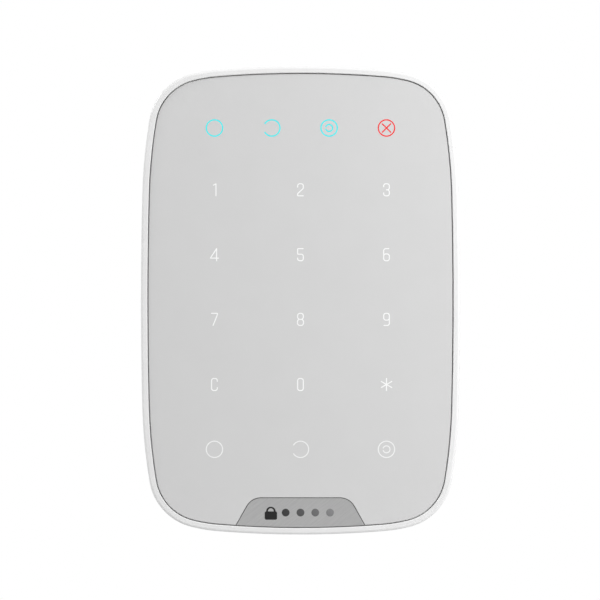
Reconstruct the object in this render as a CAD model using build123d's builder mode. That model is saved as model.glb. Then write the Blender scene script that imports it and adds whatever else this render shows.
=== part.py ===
"""Wall-mounted touch keypad for an alarm system, with its battery compartment and its wall bracket.

Frame: the origin is the centre of the bracket's wall face. +X is to the right for a person who faces
the keypad, +Z is up and +Y points into the wall. Depths are distances from the wall, towards the room.
"""

import os
from math import cos, radians, sin

from build123d import *

os.makedirs("parts", exist_ok=True)

# ---------------------------------------------------------------- driving dimensions, millimetres
case_width = 102.5
case_height = 150.4
case_depth = 14.4                        # wall to the middle of the crowned front
crown_radius = 4000.0                    # the front is a shallow dome

# The outline's quarter is five tangent arcs. The first and the last radius follow from the size.
arc_turns = (0.0, 1.42, 9.44, 75.98, 85.41, 90.0)
shoulder_radius = 173.6
corner_radius = 18.07
brow_radius = 51.8

rim_width = 2.1
rim_round = 0.8
panel_gap = 0.35
plate_gap = 0.24
pad_inset = 0.1
panel_recess = 0.3                       # the rim stands this much proud of the touch panel
panel_thickness = 1.2
rim_edge_round = 0.2
parting_depth = 6.5                      # where the front frame meets the rear cover
fit_gap = 0.3

# front stack
mark_depth = 0.3
mark_line = 0.34
plate_thickness = 0.3
adhesive_thickness = 0.1
foil_thickness = 0.15
guide_thickness = 0.5
shelf_width = 2.15

# circuit board
board_rear = 9.9
board_thickness = 1.0
board_front = board_rear + board_thickness
led_height = 0.6

# rear cover
skin_rear = 2.4
skin_thickness = 1.4
skin_front = skin_rear + skin_thickness
post_radius = 1.5                        # posts that press the board against the frame's shelf
post_place = (44.0, 24.0)
cover_inset = 0.25
cover_round = 3.0
tongue_inset = rim_width + cover_inset
tongue_wall = 1.2
tongue_height = 1.5

# battery compartment: four AAA cells side by side
cell_radius = 5.15
cell_length = 44.5
nub_radius = 1.9
nub_height = 1.0
cell_pitch = 11.4
cell_axis_depth = 6.7
bay_centre_z = -14.0
bay_half_width = 24.0
bay_half_height = 26.6
bay_wall = 1.4
bay_floor_rear = 0.35
bay_floor_front = 1.45
cradle_wall = 1.2
contact_thickness = 0.3

# wall bracket
bracket_inset = 7.0
bracket_thickness = 2.2
screw_spacing_x = 66.0
screw_spacing_z = 110.0
wall_hole_radius = 2.1
wall_sink_radius = 3.5
window_half_width = 27.0
window_low = -43.5
window_high = 21.5
unit_travel = 6.0
hook_x = 36.0
hook_z = 40.0
hook_width = 6.0
neck_height = 2.5
lip_length = 4.5
lip_rear = 4.0
lip_front = 5.4
tongue_half_width = 5.0
flange_low = -73.0
flange_thickness = 1.4
flange_depth = 5.4
holding_depth = 3.9
bracket_chamfer = 0.4
power_opening = (12.0, 14.5)             # hole in the bracket, behind the power button
tab_size = (20.0, 14.0)                  # break-away tamper tab, outside its slit
tab_slit = 0.8
tab_bridge = 1.2
tab_screw_x = -4.5

# holding screw, M2, and the notch that it stands in
holding_radius = 1.0
holding_length = 6.5
holding_head_radius = 1.45
holding_head_height = 1.2
notch_depth = 5.6
notch_high = -70.9
notch_half_width = 5.6

# switches
power_x, power_z = 14.0, 36.0
tamper_x, tamper_z = 4.5, -56.0
power_switch_rear = 7.2
tamper_switch_rear = 7.0
button_radius = 2.6
button_rear = 2.6
plunger_radius = 1.6
plunger_collar = (4.0, 4.6)              # depths of the collar's two faces
stem_radius = 1.2
well_radius = 1.45

# key and symbol places
key_x = 27.61
key_rows = (35.53, 14.70, -6.05, -26.95, -47.77)
status_row = 55.38
status_x = (-27.61, -9.20, 9.20, 27.61)
ring_radius = 2.62
ring_line = 0.42
inner_ring_radius = 1.12
cross_reach = 1.33

# case screws
boss_x, boss_z = 39.0, 63.4
boss_radius = 2.8
boss_depth = 8.2                         # where the frame's bosses meet the cover's posts
boss_top = 11.3
screw_tip = 10.8
screw_radius = 1.0
screw_head_radius = 1.8
screw_head_rear = 2.9
screw_seat = 4.4
recess_width = 0.5                       # cross recess of the screw heads

# small clearances
hook_side_gap = 0.4
hook_top_gap = 0.15
screw_gap = 0.25


# ---------------------------------------------------------------- shared construction
def level(depth):
    """Plane parallel to the wall: x to the right, y up, normal towards the room."""
    return Plane.XZ.offset(depth)


def closing_radii(inset):
    """Radii of the outline's first and last arc, which make the quarter end on both axes."""
    angle = [radians(turn) for turn in arc_turns]
    across = [cos(a) - cos(b) for a, b in zip(angle, angle[1:])]
    along = [sin(b) - sin(a) for a, b in zip(angle, angle[1:])]
    middle = (shoulder_radius, corner_radius, brow_radius)
    left_x = case_width / 2 - sum(r * c for r, c in zip(middle, across[1:4]))
    left_z = case_height / 2 - sum(r * s for r, s in zip(middle, along[1:4]))
    det = across[0] * along[4] - across[4] * along[0]
    first = (left_x * along[4] - across[4] * left_z) / det
    last = (across[0] * left_z - left_x * along[0]) / det
    return [r - inset for r in (first, *middle, last)]


def case_shape(inset=0.0, mode=Mode.ADD):
    """Face of the keypad's outline, moved inwards by inset."""
    with BuildLine() as outline:
        start = (case_width / 2 - inset, 0)
        heading = (0, 1)
        for radius, low, high in zip(closing_radii(inset), arc_turns, arc_turns[1:]):
            arc = JernArc(start=start, tangent=heading, radius=radius, arc_size=high - low)
            start, heading = arc @ 1, arc % 1
        mirror(about=Plane.YZ)
        mirror(about=Plane.XZ)
    make_face(outline.edges(), mode=mode)


def crown(depth, mode):
    """Ball whose foremost point is at this depth: a surface parallel to the domed front."""
    middle_y = crown_radius - case_depth
    with Locations((0, middle_y, 0)):
        Sphere(radius=middle_y + depth, mode=mode)


def crowned_sheet(rear, front):
    """Trims the part being built to the layer between two domed surfaces."""
    crown(front, Mode.INTERSECT)
    crown(rear, Mode.SUBTRACT)


def stroke(points, radii=0.0, width=mark_line):
    """Rounded line of a symbol along a path with filleted corners."""
    with BuildLine() as path:
        if len(points) == 2:
            Line(*points)
        else:
            FilletPolyline(*points, radius=radii)
    SlotArc(path.wires()[0], width)


def loop(width, height, centre_z=0.0, radius=0.75):
    """Closed rounded loop of a symbol."""
    with Locations((0, centre_z)):
        RectangleRounded(width + mark_line, height + mark_line, radius + mark_line / 2)
        RectangleRounded(width - mark_line, height - mark_line, radius - mark_line / 2, mode=Mode.SUBTRACT)


def ring(radius, width=ring_line, gap=0.0):
    """Ring symbol, open towards the left by a half angle of gap degrees."""
    with BuildLine() as arc:
        if gap:
            CenterArc((0, 0), radius, gap - 180, 360 - 2 * gap)
    if gap:
        SlotArc(arc.wires()[0], width)
    else:
        with BuildSketch(mode=Mode.PRIVATE) as band:
            Circle(radius + width / 2)
            Circle(radius - width / 2, mode=Mode.SUBTRACT)
        add(band.sketch)


def key_symbol(name):
    """One key's symbol about its own centre, 4.3 mm high."""
    w, h, bowl = 0.91, 1.94, 0.7
    if name == "1":
        stroke([(-0.3, 1.5), (0.5, h), (0.5, -h)], 0.06)
    elif name == "2":
        corners = [(-w, 0.85), (-w, h), (w, h), (w, 0.45), (-w, -1.25), (-w, -h), (w, -h)]
        stroke(corners, [bowl, bowl, 0.6, 0.3, 0.12])
    elif name == "3":
        stroke([(-w, 1.0), (-w, h), (w, h), (w, 0), (0, 0)], [bowl, bowl, bowl])
        stroke([(0, 0), (w, 0), (w, -h), (-w, -h), (-w, -1.0)], [bowl, bowl, bowl])
    elif name == "4":
        stroke([(0.7, -h), (0.7, h)])
        stroke([(0.7, h), (-1.3, -1.1), (1.3, -1.1)], [0.04])
    elif name == "5":
        corners = [(0.85, h), (-w, h), (-w, 0.15), (w, 0.15), (w, -h), (-w, -h), (-w, -1.1)]
        stroke(corners, [0.2, 0.2, bowl, bowl, bowl])
    elif name == "6":
        stroke([(0.72, h), (-w, h), (-w, -0.8)], bowl)
        loop(2 * w, 2.2, -0.85)
    elif name == "7":
        stroke([(-0.92, h), (0.95, h), (0.95, 1.5), (-0.42, -h)], [0.12, 0.3])
    elif name == "8":
        loop(2 * w, h, h / 2)
        loop(2 * w + 0.1, h, -h / 2)
    elif name == "9":
        loop(2 * w, 2.2, 0.85)
        stroke([(w, 0.8), (w, -h), (-0.8, -h)], bowl)
    elif name == "C":
        stroke([(w, 1.0), (w, h), (-w, h), (-w, -h), (w, -h), (w, -1.0)], bowl)
    elif name == "0":
        loop(2 * w, 2 * h)
    else:
        for angle in (90, 30, 150):
            reach = (h * cos(radians(angle)), h * sin(radians(angle)))
            stroke([(-reach[0], -reach[1]), reach])


def number_symbols():
    """Sketch of the twelve characters of the key field, on the wall's plane."""
    with BuildSketch(level(0)) as field:
        for place, name in enumerate("123456789C0*"):
            row, column = divmod(place, 3)
            with BuildSketch(mode=Mode.PRIVATE) as single:
                key_symbol(name)
            with Locations(((column - 1) * key_x, key_rows[row])):
                add(single.sketch)
    return field.sketch


def ring_symbols(kinds, places, width):
    """Sketch of ring symbols: closed, open, or closed with a small open ring inside."""
    with BuildSketch(level(0)) as field:
        for kind, place in zip(kinds, places):
            with BuildSketch(mode=Mode.PRIVATE) as single:
                ring(ring_radius, width, 33 if kind == "open" else 0)
                if kind == "nested":
                    ring(inner_ring_radius, width, 21)
                if kind == "crossed":
                    stroke([(-cross_reach, -cross_reach), (cross_reach, cross_reach)], width=width)
                    stroke([(-cross_reach, cross_reach), (cross_reach, -cross_reach)], width=width)
            with Locations(place):
                add(single.sketch)
    return field.sketch


def plate_trapezoid(inset=0.0, mode=Mode.ADD):
    """Trapezoid with rounded shoulders that runs on past the panel's lower edge."""
    top_z, top_half, slope, shoulder = -63.2, 15.86, 0.5589, 5.4
    low_z = -case_height / 2
    low_half = top_half + (top_z - low_z) * slope
    with BuildLine() as edge:
        FilletPolyline(
            (-low_half + inset, low_z), (-top_half + inset, top_z - inset),
            (top_half - inset, top_z - inset), (low_half - inset, low_z),
            radius=shoulder - inset,
        )
        Line(edge.line @ 1, edge.line @ 0)
    make_face(edge.edges(), mode=mode)


def plate_shape(inset):
    """Name plate's outline: the trapezoid, closed below by the panel's own edge."""
    case_shape(rim_width + panel_gap)
    plate_trapezoid(inset, mode=Mode.INTERSECT)


def disc(depth, thickness, radius, places, mode=Mode.ADD):
    """Round boss or hole at each place, from depth towards the room."""
    with BuildSketch(level(depth)) as base:
        with Locations(*places):
            Circle(radius)
    extrude(base.sketch, amount=thickness, mode=mode)


def slab(depth, thickness, low, high, radius=0.0, mode=Mode.ADD):
    """Block between two corners (x, z), from depth towards the room."""
    with BuildSketch(level(depth)) as base:
        with Locations(((low[0] + high[0]) / 2, (low[1] + high[1]) / 2)):
            if radius:
                RectangleRounded(high[0] - low[0], high[1] - low[1], radius)
            else:
                Rectangle(high[0] - low[0], high[1] - low[1])
    extrude(base.sketch, amount=thickness, mode=mode)


def cross_recess(depth, sink, places, reach):
    """Cross recess of screw heads that face away from or towards the room."""
    with BuildSketch(level(depth)) as base:
        with Locations(*places):
            Rectangle(reach, recess_width)
            Rectangle(recess_width, reach)
    extrude(base.sketch, amount=sink, mode=Mode.SUBTRACT)


def corners_of(x, z):
    """Four places mirrored about both axes."""
    return [(-x, -z), (x, -z), (-x, z), (x, z)]


def finish(builder, name):
    """Labels a finished piece and writes it."""
    builder.part.label = name
    export_step(builder.part, f"parts/{name}.step")


key_places = [(column * key_x, row) for row in key_rows for column in (-1, 0, 1)]
numbers = number_symbols()
modes = ring_symbols(("closed", "open", "nested"), key_places[12:], mark_line)
status = ring_symbols(("closed", "open", "nested"), [(x, status_row) for x in status_x[:3]], ring_line)
fault = ring_symbols(("crossed",), [(status_x[3], status_row)], ring_line)

# ---------------------------------------------------------------- wall bracket
with BuildPart() as mounting_bracket:
    with BuildSketch(level(0)):
        case_shape(bracket_inset)
        with Locations((0, (window_low + window_high) / 2)):
            RectangleRounded(2 * window_half_width, window_high - window_low, 3, mode=Mode.SUBTRACT)
        with Locations((power_x, power_z + unit_travel / 2)):
            RectangleRounded(*power_opening, 3, mode=Mode.SUBTRACT)
        with Locations((0, flange_low)):
            Rectangle(2 * tongue_half_width, 8, align=(Align.CENTER, Align.MIN))
    extrude(amount=bracket_thickness)
    chamfer(mounting_bracket.faces().sort_by(Axis.Y)[0].outer_wire().edges(), bracket_chamfer)
    # flange under the case, which takes the holding screw
    slab(0, flange_depth, (-tongue_half_width, flange_low),
         (tongue_half_width, flange_low + flange_thickness))
    # hooks: a neck through the cover's slot and a lip that points up behind the cover's skin
    for x, z in corners_of(hook_x, hook_z):
        low = (x - hook_width / 2, z - neck_height / 2)
        neck_top = (x + hook_width / 2, z + neck_height / 2)
        slab(bracket_thickness, lip_front - bracket_thickness, low, neck_top)
        slab(lip_rear, lip_front - lip_rear, low, (neck_top[0], neck_top[1] + lip_length))
    # break-away tamper tab: a slit all round but for four thin bridges, and its own wall screw hole
    with BuildSketch(level(0)) as slit:
        with Locations((0, tamper_z)):
            RectangleRounded(*tab_size, 2)
            RectangleRounded(tab_size[0] - 2 * tab_slit, tab_size[1] - 2 * tab_slit, 2 - tab_slit,
                             mode=Mode.SUBTRACT)
            with GridLocations(tab_size[0] / 2, tab_size[1], 2, 2):
                Rectangle(tab_bridge, 4 * tab_slit, mode=Mode.SUBTRACT)
    extrude(slit.sketch, amount=bracket_thickness, mode=Mode.SUBTRACT)
    with Locations(level(bracket_thickness)):
        with Locations(*corners_of(screw_spacing_x / 2, screw_spacing_z / 2), (tab_screw_x, tamper_z)):
            CounterSinkHole(radius=wall_hole_radius, counter_sink_radius=wall_sink_radius,
                            counter_sink_angle=90)
    with Locations(Plane.XY.offset(flange_low + flange_thickness)):
        with Locations((0, -holding_depth)):
            Hole(radius=holding_radius + screw_gap, depth=flange_thickness)
finish(mounting_bracket, "mounting_bracket")

with BuildPart() as holding_screw:
    with BuildSketch(Plane.XY.offset(flange_low)) as shank:
        with Locations((0, -holding_depth)):
            Circle(holding_radius)
    extrude(shank.sketch, amount=holding_length)
    with BuildSketch(Plane.XY.offset(flange_low)) as head:
        with Locations((0, -holding_depth)):
            Circle(holding_head_radius)
    extrude(head.sketch, amount=-holding_head_height)
    chamfer(holding_screw.faces().sort_by(Axis.Z)[0].edges(), 0.25)
    with BuildSketch(Plane.XY.offset(flange_low - holding_head_height)) as cross:
        with Locations((0, -holding_depth)):
            Rectangle(4 * recess_width, recess_width)
            Rectangle(recess_width, 4 * recess_width)
    extrude(cross.sketch, amount=holding_head_height / 2, mode=Mode.SUBTRACT)
finish(holding_screw, "holding_screw")

# ---------------------------------------------------------------- case
panel_front = case_depth - panel_recess
panel_rear = panel_front - panel_thickness

with BuildPart() as shelf:
    with BuildSketch(level(board_front)):
        case_shape(rim_width - panel_recess / 2)
        case_shape(rim_width + shelf_width, mode=Mode.SUBTRACT)
    extrude(amount=3)
    crown(panel_rear - adhesive_thickness, Mode.INTERSECT)

with BuildPart() as front_frame:
    with BuildSketch(level(parting_depth)):
        case_shape()
    extrude(amount=case_depth - parting_depth + 1)
    crown(case_depth, Mode.INTERSECT)
    fillet(front_frame.faces().sort_by(Axis.Y)[0].edges(), rim_round)
    with BuildSketch(level(parting_depth)) as hollow:
        case_shape(rim_width)
    extrude(hollow.sketch, amount=case_depth, mode=Mode.SUBTRACT)
    fillet(front_frame.faces().sort_by(Axis.Y)[0].inner_wires()[0].edges(), rim_edge_round)
    add(shelf.part)
    disc(boss_depth, boss_top - boss_depth, boss_radius, corners_of(boss_x, boss_z))
    disc(boss_depth, screw_tip - boss_depth, screw_radius, corners_of(boss_x, boss_z), mode=Mode.SUBTRACT)
finish(front_frame, "front_frame")

with BuildPart() as rear_cover:
    with BuildSketch(level(skin_rear)):
        case_shape(cover_inset)
    extrude(amount=parting_depth - skin_rear)
    fillet(rear_cover.faces().sort_by(Axis.Y)[-1].edges(), cover_round)
    with BuildSketch(level(parting_depth - 1)) as tongue:
        case_shape(tongue_inset)
    extrude(tongue.sketch, amount=tongue_height + 1)
    with BuildSketch(level(skin_front)) as hollow:
        case_shape(tongue_inset + tongue_wall)
    extrude(hollow.sketch, amount=case_depth, mode=Mode.SUBTRACT)
    # battery bay
    bay_half = (bay_half_width + bay_wall, bay_half_height + bay_wall)
    slab(bay_floor_rear, skin_front - bay_floor_rear, (-bay_half[0], bay_centre_z - bay_half[1]),
         (bay_half[0], bay_centre_z + bay_half[1]), radius=2.5)
    fillet(rear_cover.faces().sort_by(Axis.Y)[-1].edges(), 0.8)
    slab(bay_floor_front, skin_front, (-bay_half_width, bay_centre_z - bay_half_height),
         (bay_half_width, bay_centre_z + bay_half_height), radius=1.2, mode=Mode.SUBTRACT)
    # screw posts, board posts and the block round the holding screw
    screw_places = corners_of(boss_x, boss_z)
    disc(skin_front - 0.6, boss_depth - skin_front + 0.6, boss_radius + 0.2, screw_places)
    disc(skin_front - 0.4, board_rear - skin_front + 0.4, post_radius, corners_of(*post_place))
    slab(notch_depth - 2, 3.6, (-notch_half_width - bay_wall, notch_high - 2),
         (notch_half_width + bay_wall, notch_high + 5.4))
    disc(0, case_depth, screw_radius + screw_gap, screw_places, mode=Mode.SUBTRACT)
    disc(0, screw_seat, screw_head_radius + 0.2, screw_places, mode=Mode.SUBTRACT)
    # slots for the hooks, long enough for the lips once the case has slid up
    for x, z in corners_of(hook_x, hook_z):
        half_slot = hook_width / 2 + hook_side_gap
        slot_low = (x - half_slot, z - neck_height / 2 - unit_travel - hook_side_gap)
        slot_high = (x + half_slot, z + neck_height / 2 + hook_top_gap)
        slab(0, skin_front, slot_low, slot_high, mode=Mode.SUBTRACT)
    # notch for the bracket's flange, and the holding screw's clearance hole
    slab(0, notch_depth, (-notch_half_width, -case_height / 2), (notch_half_width, notch_high),
         mode=Mode.SUBTRACT)
    with BuildSketch(Plane.XY.offset(notch_high - 1)) as pilot:
        with Locations((0, -holding_depth)):
            Circle(holding_radius + fit_gap)
    extrude(pilot.sketch, amount=7, mode=Mode.SUBTRACT)
    disc(0, skin_front, button_radius + fit_gap, [(power_x, power_z)], mode=Mode.SUBTRACT)
    disc(0, skin_front, plunger_radius + fit_gap, [(tamper_x, tamper_z)], mode=Mode.SUBTRACT)
finish(rear_cover, "rear_cover")

with BuildPart() as case_screws:
    disc(screw_seat, screw_tip - screw_seat, screw_radius, screw_places)
    disc(screw_head_rear, screw_seat - screw_head_rear, screw_head_radius, screw_places)
    cross_recess(screw_head_rear, 0.8, screw_places, 4.4 * recess_width)
finish(case_screws, "case_screws")

label_thickness = 0.1
with BuildPart() as rating_label:
    slab(skin_rear - label_thickness, label_thickness, (-28, 26), (2, 46), radius=1)
finish(rating_label, "rating_label")

# ---------------------------------------------------------------- touch panel and its symbols
foil_rear = panel_rear - foil_thickness
guide_rear = foil_rear - guide_thickness


def raise_symbols(sketch, mode=Mode.ADD):
    """Prism of each symbol, from inside the case to beyond the front."""
    for face in sketch.faces():
        extrude(face, amount=case_depth + 1, dir=(0, -1, 0), mode=mode)


def inlay(sketch, name):
    """Translucent symbols moulded into the front of the touch panel, flush with it."""
    with BuildPart() as marks:
        raise_symbols(sketch)
        crowned_sheet(panel_front - mark_depth, panel_front)
    finish(marks, name)


with BuildPart() as symbol_pockets:
    for symbols in (numbers, modes, status, fault):
        raise_symbols(symbols)
    crown(panel_front - mark_depth, Mode.SUBTRACT)

with BuildPart() as plate_pocket:
    with BuildSketch(level(panel_rear)):
        plate_trapezoid()
    extrude(amount=panel_thickness + 1.5)
    crown(panel_front - plate_thickness - adhesive_thickness, Mode.SUBTRACT)

with BuildPart() as touch_panel:
    with BuildSketch(level(panel_rear - 2)):
        case_shape(rim_width + panel_gap)
    extrude(amount=4)
    crowned_sheet(panel_rear, panel_front)
    chamfer(touch_panel.faces().sort_by(Axis.Y)[0].outer_wire().edges(), 0.12)
    add(plate_pocket.part, mode=Mode.SUBTRACT)
    add(symbol_pockets.part, mode=Mode.SUBTRACT)
finish(touch_panel, "touch_panel")

inlay(numbers, "number_marks")
inlay(modes, "mode_marks")
inlay(status, "status_marks")
inlay(fault, "fault_mark")

with BuildPart() as name_plate:
    with BuildSketch(level(panel_rear)):
        plate_shape(plate_gap)
    extrude(amount=panel_thickness + 1.5)
    crowned_sheet(panel_front - plate_thickness, panel_front)
finish(name_plate, "name_plate")

with BuildPart() as plate_adhesive:
    with BuildSketch(level(panel_rear)):
        plate_shape(pad_inset)
    extrude(amount=panel_thickness + 1.5)
    crowned_sheet(panel_front - plate_thickness - adhesive_thickness, panel_front - plate_thickness)
finish(plate_adhesive, "plate_adhesive")

with BuildPart() as panel_adhesive:
    with BuildSketch(level(board_front)):
        case_shape(rim_width + panel_gap + 0.2)
        case_shape(rim_width + shelf_width - 0.1, mode=Mode.SUBTRACT)
    extrude(amount=4)
    crowned_sheet(panel_rear - adhesive_thickness, panel_rear)
finish(panel_adhesive, "panel_adhesive")

# ---------------------------------------------------------------- sensor foil, light guide and board
foil_inset = rim_width + shelf_width + fit_gap
tail_half_width = 8.0
tail_z = 69.9
tail_depth = 8.6
connector_z = 62.5

with BuildPart() as foil_tail:
    with BuildSketch(Plane.YZ):
        with BuildLine():
            FilletPolyline(
                (-(foil_rear - 0.5), tail_z - 1.4), (-(foil_rear - 0.75), tail_z),
                (-tail_depth, tail_z), (-tail_depth, connector_z),
                radius=0.7,
            )
        trace(line_width=foil_thickness)
    extrude(amount=tail_half_width, both=True)

with BuildPart() as touch_sensor_foil:
    with BuildSketch(level(board_front)):
        case_shape(foil_inset)
    extrude(amount=4)
    crowned_sheet(foil_rear, panel_rear)
    add(foil_tail.part)
finish(touch_sensor_foil, "touch_sensor_foil")

with BuildPart() as light_guide:
    with BuildSketch(level(board_front)):
        case_shape(foil_inset + 0.2)
        with Locations((0, case_height / 2)):
            RectangleRounded(2 * tail_half_width + 3, 22, 1, mode=Mode.SUBTRACT)
        with Locations((0, -case_height / 2)):
            RectangleRounded(12, 18, 1, mode=Mode.SUBTRACT)
    extrude(amount=4)
    crowned_sheet(guide_rear, foil_rear)
finish(light_guide, "light_guide")

ear_x = 29.3
ear_places = [(side * ear_x, z) for side in (-1, 1) for z in (-36.0, 8.0)]
board_window = (26.0, -43.0, 15.0)

with BuildPart() as main_board:
    with BuildSketch(level(board_rear)):
        case_shape(rim_width + 0.35)
        with Locations((0, (board_window[1] + board_window[2]) / 2)):
            RectangleRounded(2 * board_window[0], board_window[2] - board_window[1], 1,
                             mode=Mode.SUBTRACT)
        with Locations((0, tail_z)):
            SlotOverall(2 * tail_half_width + 3, 2.4, mode=Mode.SUBTRACT)
        with Locations(*corners_of(boss_x, boss_z)):
            Circle(3.3, mode=Mode.SUBTRACT)
        with Locations(*ear_places):
            Circle(1.1, mode=Mode.SUBTRACT)
    extrude(amount=board_thickness)
finish(main_board, "main_board")


def light_chips(places, name):
    """Small surface-mounted lights on the front of the board, each with a bevelled top."""
    with BuildPart() as chips:
        for x, z in places:
            slab(board_front, led_height, (x - 0.8, z - 0.4), (x + 0.8, z + 0.4))
        chamfer(chips.faces().group_by(Axis.Y)[0].edges(), 0.12)
    finish(chips, name)


guide_light_x = 34.0
light_chips([(x, status_row) for x in status_x[:3]], "status_leds")
light_chips([(status_x[3], status_row)], "fault_led")
light_chips(
    [(side * guide_light_x, z) for z in key_rows for side in (-1, 1)]
    + [(0, key_rows[0]), (0, key_rows[4])],
    "backlight_leds",
)

with BuildPart() as foil_connector:
    slab(7.9, board_rear - 7.9, (-10, 60.0), (10, 64.5))
    slab(tail_depth - 0.15, 0.3, (-8.2, 62.3), (8.2, 64.6), mode=Mode.SUBTRACT)
    chamfer(foil_connector.faces().sort_by(Axis.Y)[-1].edges(), 0.3)
finish(foil_connector, "foil_connector")

with BuildPart() as microcontroller:
    slab(board_rear - 0.9, 0.9, (-24, 32), (-17, 39))
    chamfer(microcontroller.faces().sort_by(Axis.Y)[-1].edges(), 0.15)
    disc(board_rear - 1, 0.2, 0.4, [(-23, 38)], mode=Mode.SUBTRACT)
    # gull-wing legs along all four sides
    with BuildSketch(level(board_rear - 0.4)) as legs:
        with Locations((-20.5, 35.5)):
            with GridLocations(0.8, 8.4, 8, 2):
                Rectangle(0.3, 1.6)
            with GridLocations(8.4, 0.8, 2, 8):
                Rectangle(1.6, 0.3)
    extrude(legs.sketch, amount=0.4)
finish(microcontroller, "microcontroller")

with BuildPart() as radio_shield:
    slab(board_rear - 2.2, 2.2, (-32, 50), (-16, 63), radius=0.6)
    fillet(radio_shield.faces().sort_by(Axis.Y)[-1].edges(), 0.3)
    slab(board_rear - 2.0, 2.1, (-31.8, 50.2), (-16.2, 62.8), radius=0.4, mode=Mode.SUBTRACT)
    with BuildSketch(level(board_rear - 3)) as vents:
        with Locations((-24, 56.5)):
            with GridLocations(3, 3, 4, 3):
                Circle(0.5)
    extrude(vents.sketch, amount=1.5, mode=Mode.SUBTRACT)
finish(radio_shield, "radio_shield")

with BuildPart() as antennas:
    for side in (-1, 1):
        with BuildSketch(Plane.XZ.offset(board_rear - 3.2)) as strip:
            with BuildLine() as route:
                FilletPolyline((side * 42, 34), (side * 42, 54), (side * 34.5, 54), radius=1.2)
            trace(route.edges(), line_width=0.4)
        extrude(strip.sketch, amount=3.2)
finish(antennas, "antennas")

with BuildPart() as buzzer:
    disc(board_rear - 2.6, 2.6, 4.5, [(24, 57)])
    fillet(buzzer.faces().sort_by(Axis.Y)[-1].edges(), 0.4)
    disc(board_rear - 3, 1.2, 1.0, [(24, 57)], mode=Mode.SUBTRACT)
finish(buzzer, "buzzer")

with BuildPart() as crystal:
    slab(board_rear - 0.8, 0.8, (-12.6, 34.5), (-9.4, 36.5), radius=0.5)
    fillet(crystal.faces().sort_by(Axis.Y)[-1].edges(), 0.2)
finish(crystal, "crystal")

with BuildPart() as chip_components:
    for column in range(6):
        for row in range(3):
            x, z = -10 + 3.2 * column, 44 + 3.0 * row
            slab(board_rear - 0.5, 0.5, (x - 0.8, z - 0.4), (x + 0.8, z + 0.4))
    for column in range(5):
        x = -22 + 3.4 * column
        slab(board_rear - 0.6, 0.6, (x - 0.5, -61), (x + 0.5, -59))
finish(chip_components, "chip_components")

# ---------------------------------------------------------------- power switch and tamper switch
def switch_body(x, z, half, rear, name):
    """Push switch on the back of the board, with the well that its stem moves in."""
    with BuildPart() as body:
        slab(rear, board_rear - rear, (x - half, z - half), (x + half, z + half), radius=0.5)
        chamfer(body.faces().sort_by(Axis.Y)[-1].edges(), 0.3)
        disc(rear, board_rear - rear - 0.5, well_radius, [(x, z)], mode=Mode.SUBTRACT)
    finish(body, name)


switch_body(power_x, power_z, 3.0, power_switch_rear, "power_switch")
switch_body(tamper_x, tamper_z, 2.4, tamper_switch_rear, "tamper_switch")

with BuildPart() as power_switch_stem:
    disc(power_switch_rear - 1, 2.2, stem_radius, [(power_x, power_z)])
finish(power_switch_stem, "power_switch_stem")

with BuildPart() as power_button:
    disc(button_rear, 1.6, button_radius, [(power_x, power_z)])
    fillet(power_button.faces().sort_by(Axis.Y)[-1].edges(), 0.3)
    disc(4.1, 0.7, button_radius + 1, [(power_x, power_z)])
    disc(4.8, power_switch_rear - 1 - 4.8, button_radius - 1, [(power_x, power_z)])
    # ring and stroke of the usual on/off sign, sunk into the cap
    with BuildSketch(level(button_rear)) as sign:
        with Locations((power_x, power_z)):
            with BuildSketch(mode=Mode.PRIVATE) as band:
                Circle(1.35)
                Circle(1.05, mode=Mode.SUBTRACT)
                with Locations((0, 1.2)):
                    Rectangle(1.0, 1.0, mode=Mode.SUBTRACT)
                    Rectangle(0.3, 1.3)
            add(band.sketch)
    extrude(sign.sketch, amount=0.2, mode=Mode.SUBTRACT)
finish(power_button, "power_button")

with BuildPart() as tamper_plunger:
    disc(skin_rear, plunger_collar[1] - skin_rear, plunger_radius, [(tamper_x, tamper_z)])
    fillet(tamper_plunger.faces().sort_by(Axis.Y)[-1].edges(), 0.5)
    disc(plunger_collar[0], plunger_collar[1] - plunger_collar[0], 2.7, [(tamper_x, tamper_z)])
    disc(plunger_collar[1], 3.8, stem_radius, [(tamper_x, tamper_z)])
finish(tamper_plunger, "tamper_plunger")

spring_wire = 0.15
spring_radius = 1.75
spring_turns = 4
spring_low = plunger_collar[1] + 0.2
spring_high = tamper_switch_rear - 0.2

with BuildPart() as tamper_spring:
    with BuildLine() as coil:
        Helix(
            pitch=(spring_high - spring_low) / spring_turns, height=spring_high - spring_low,
            radius=spring_radius, center=(tamper_x, -spring_low, tamper_z), direction=(0, -1, 0),
        )
    with BuildSketch(Plane(origin=coil.line @ 0, z_dir=coil.line % 0)):
        Circle(spring_wire)
    sweep()
finish(tamper_spring, "tamper_spring")

# ---------------------------------------------------------------- batteries
cradle_half_x = bay_half_width - fit_gap
cradle_half_z = bay_half_height - fit_gap
end_low = bay_centre_z - cradle_half_z + cradle_wall
end_high = bay_centre_z + cradle_half_z - cradle_wall
cell_x = [(place - 1.5) * cell_pitch for place in range(4)]
cell_points_up = (True, False, True, False)

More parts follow.
